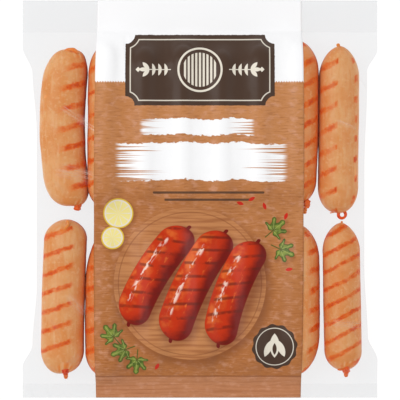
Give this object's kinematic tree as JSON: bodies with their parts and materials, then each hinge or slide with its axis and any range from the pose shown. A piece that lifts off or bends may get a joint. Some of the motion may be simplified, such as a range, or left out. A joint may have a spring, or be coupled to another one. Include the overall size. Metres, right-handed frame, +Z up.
{
  "type": "pack of sausages",
  "caption": "Sealed clear film pack of raw sausages lying in two rows, with a wide printed band down the middle and flat welded ends.",
  "frame": {"origin": "middle of the pack's outline, on the surface that the pack lies on", "axes": "+Y towards the header, +X to the right of the pack as it is read, +Z up out of the printed side"},
  "size_m": [0.2486, 0.2786, 0.0298],
  "materials": {
    "sausage_casing": "raw sausage meat in a moist, thin casing, pale orange with darker orange diagonal bands",
    "clear_film": "thin clear glossy film, a little milky where it is welded",
    "printed_film": "opaque glossy print on film, white at the header and kraft brown with a picture below"
  },
  "bodies": {
    "root": {"sausage_pack": "sausage_casing"}
  },
  "joints": []
}
